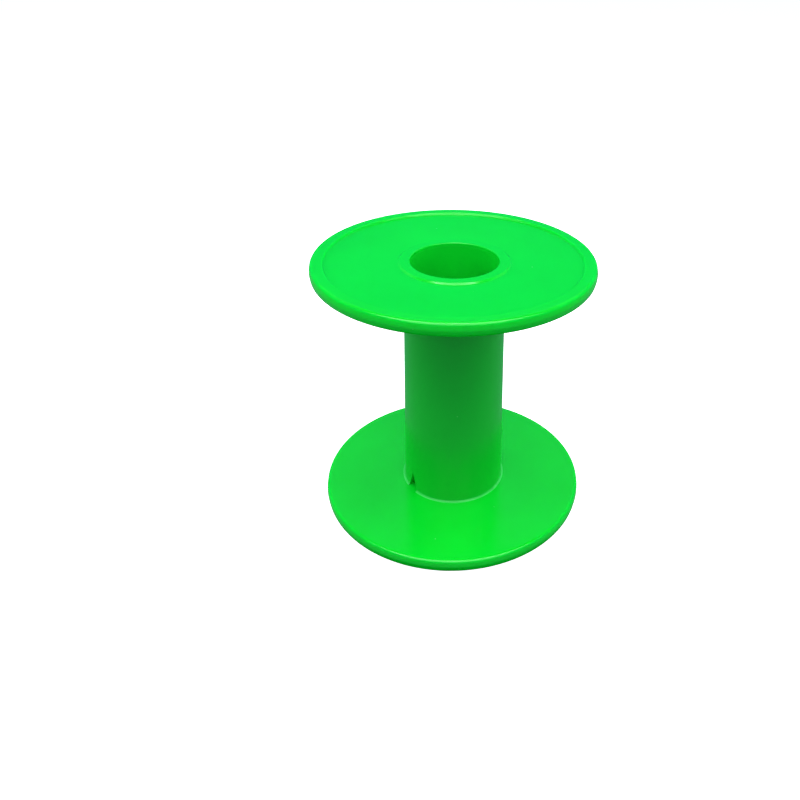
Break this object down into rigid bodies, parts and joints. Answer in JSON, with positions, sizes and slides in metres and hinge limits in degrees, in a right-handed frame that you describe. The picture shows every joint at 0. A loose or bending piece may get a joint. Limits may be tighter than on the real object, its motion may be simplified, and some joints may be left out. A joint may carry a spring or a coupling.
{
  "type": "solder wire spool",
  "caption": "Empty plastic spool for solder wire, with two round flanges pressed onto a hollow core tube that turns on a spindle.",
  "frame": {"origin": "centre of the lower flange's rim land, the face that the spool stands on, on the axis of the bore", "axes": "+Z along the spindle bore, from the flange with the start notch to the other; -X and -Y towards the start notch"},
  "size_m": [0.07, 0.07, 0.0688],
  "materials": {
    "flange_plastic": "smooth moulded, semi-gloss bright green",
    "tube_plastic": "smooth moulded, semi-gloss bright green"
  },
  "bodies": {
    "root": {"lower_flange": "flange_plastic", "core_tube": "tube_plastic", "upper_flange": "flange_plastic"}
  },
  "joints": []
}
